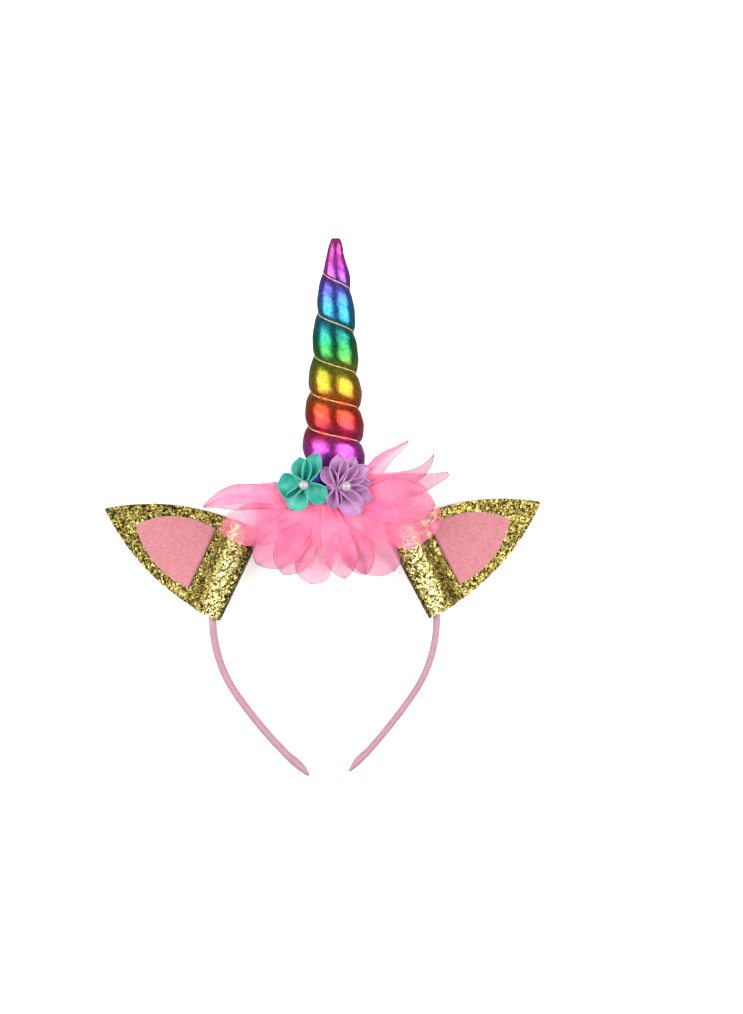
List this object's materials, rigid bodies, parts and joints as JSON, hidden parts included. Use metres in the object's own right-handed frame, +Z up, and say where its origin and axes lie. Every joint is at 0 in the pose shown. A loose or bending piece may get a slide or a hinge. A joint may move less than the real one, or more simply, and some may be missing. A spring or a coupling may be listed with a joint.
{
  "type": "unicorn horn headband",
  "caption": "Child's costume headband with a stuffed, thread-wound rainbow foil horn, gold glitter ears with pink felt inners, a sheer organza flower and ribbon flowers with pearl beads.",
  "frame": {"origin": "middle of the base of the bounding box, on the surface that the headband lies on", "axes": "+Y from the hoop's tips towards the point of the horn, +X to the right seen from the front, +Z up, out of the front of the flowers"},
  "size_m": [0.2378, 0.2908, 0.051],
  "materials": {
    "pink_satin": "satin ribbon wound over the hoop, soft sheen",
    "rainbow_foil_fabric": "metallic foil knit, magenta at the tip through blue, green, yellow and red to violet at the base",
    "gold_thread": "twisted metallic gold thread",
    "gold_glitter_sheet": "sheet covered in chunky gold glitter",
    "pink_felt": "matt pressed felt",
    "pink_organza": "sheer pink organza with heat-sealed edges",
    "teal_satin": "teal satin ribbon",
    "lavender_satin": "lavender satin ribbon",
    "pearl_bead": "off-white pearl lustre"
  },
  "bodies": {
    "root": {"headband": "pink_satin", "horn": "rainbow_foil_fabric", "gold_thread": "gold_thread", "ear_left": "gold_glitter_sheet", "ear_right": "gold_glitter_sheet", "ear_felt_left": "pink_felt", "ear_felt_right": "pink_felt", "organza_core": "pink_organza", "organza_petal_01": "pink_organza", "organza_petal_02": "pink_organza", "organza_petal_03": "pink_organza", "organza_petal_04": "pink_organza", "organza_petal_05": "pink_organza", "organza_petal_06": "pink_organza", "organza_petal_07": "pink_organza", "organza_petal_08": "pink_organza", "organza_petal_09": "pink_organza", "organza_petal_10": "pink_organza", "organza_petal_11": "pink_organza", "organza_petal_12": "pink_organza", "organza_petal_13": "pink_organza", "flower_teal": "teal_satin", "flower_lavender": "lavender_satin", "pearl_teal": "pearl_bead", "pearl_lavender": "pearl_bead"}
  },
  "joints": []
}
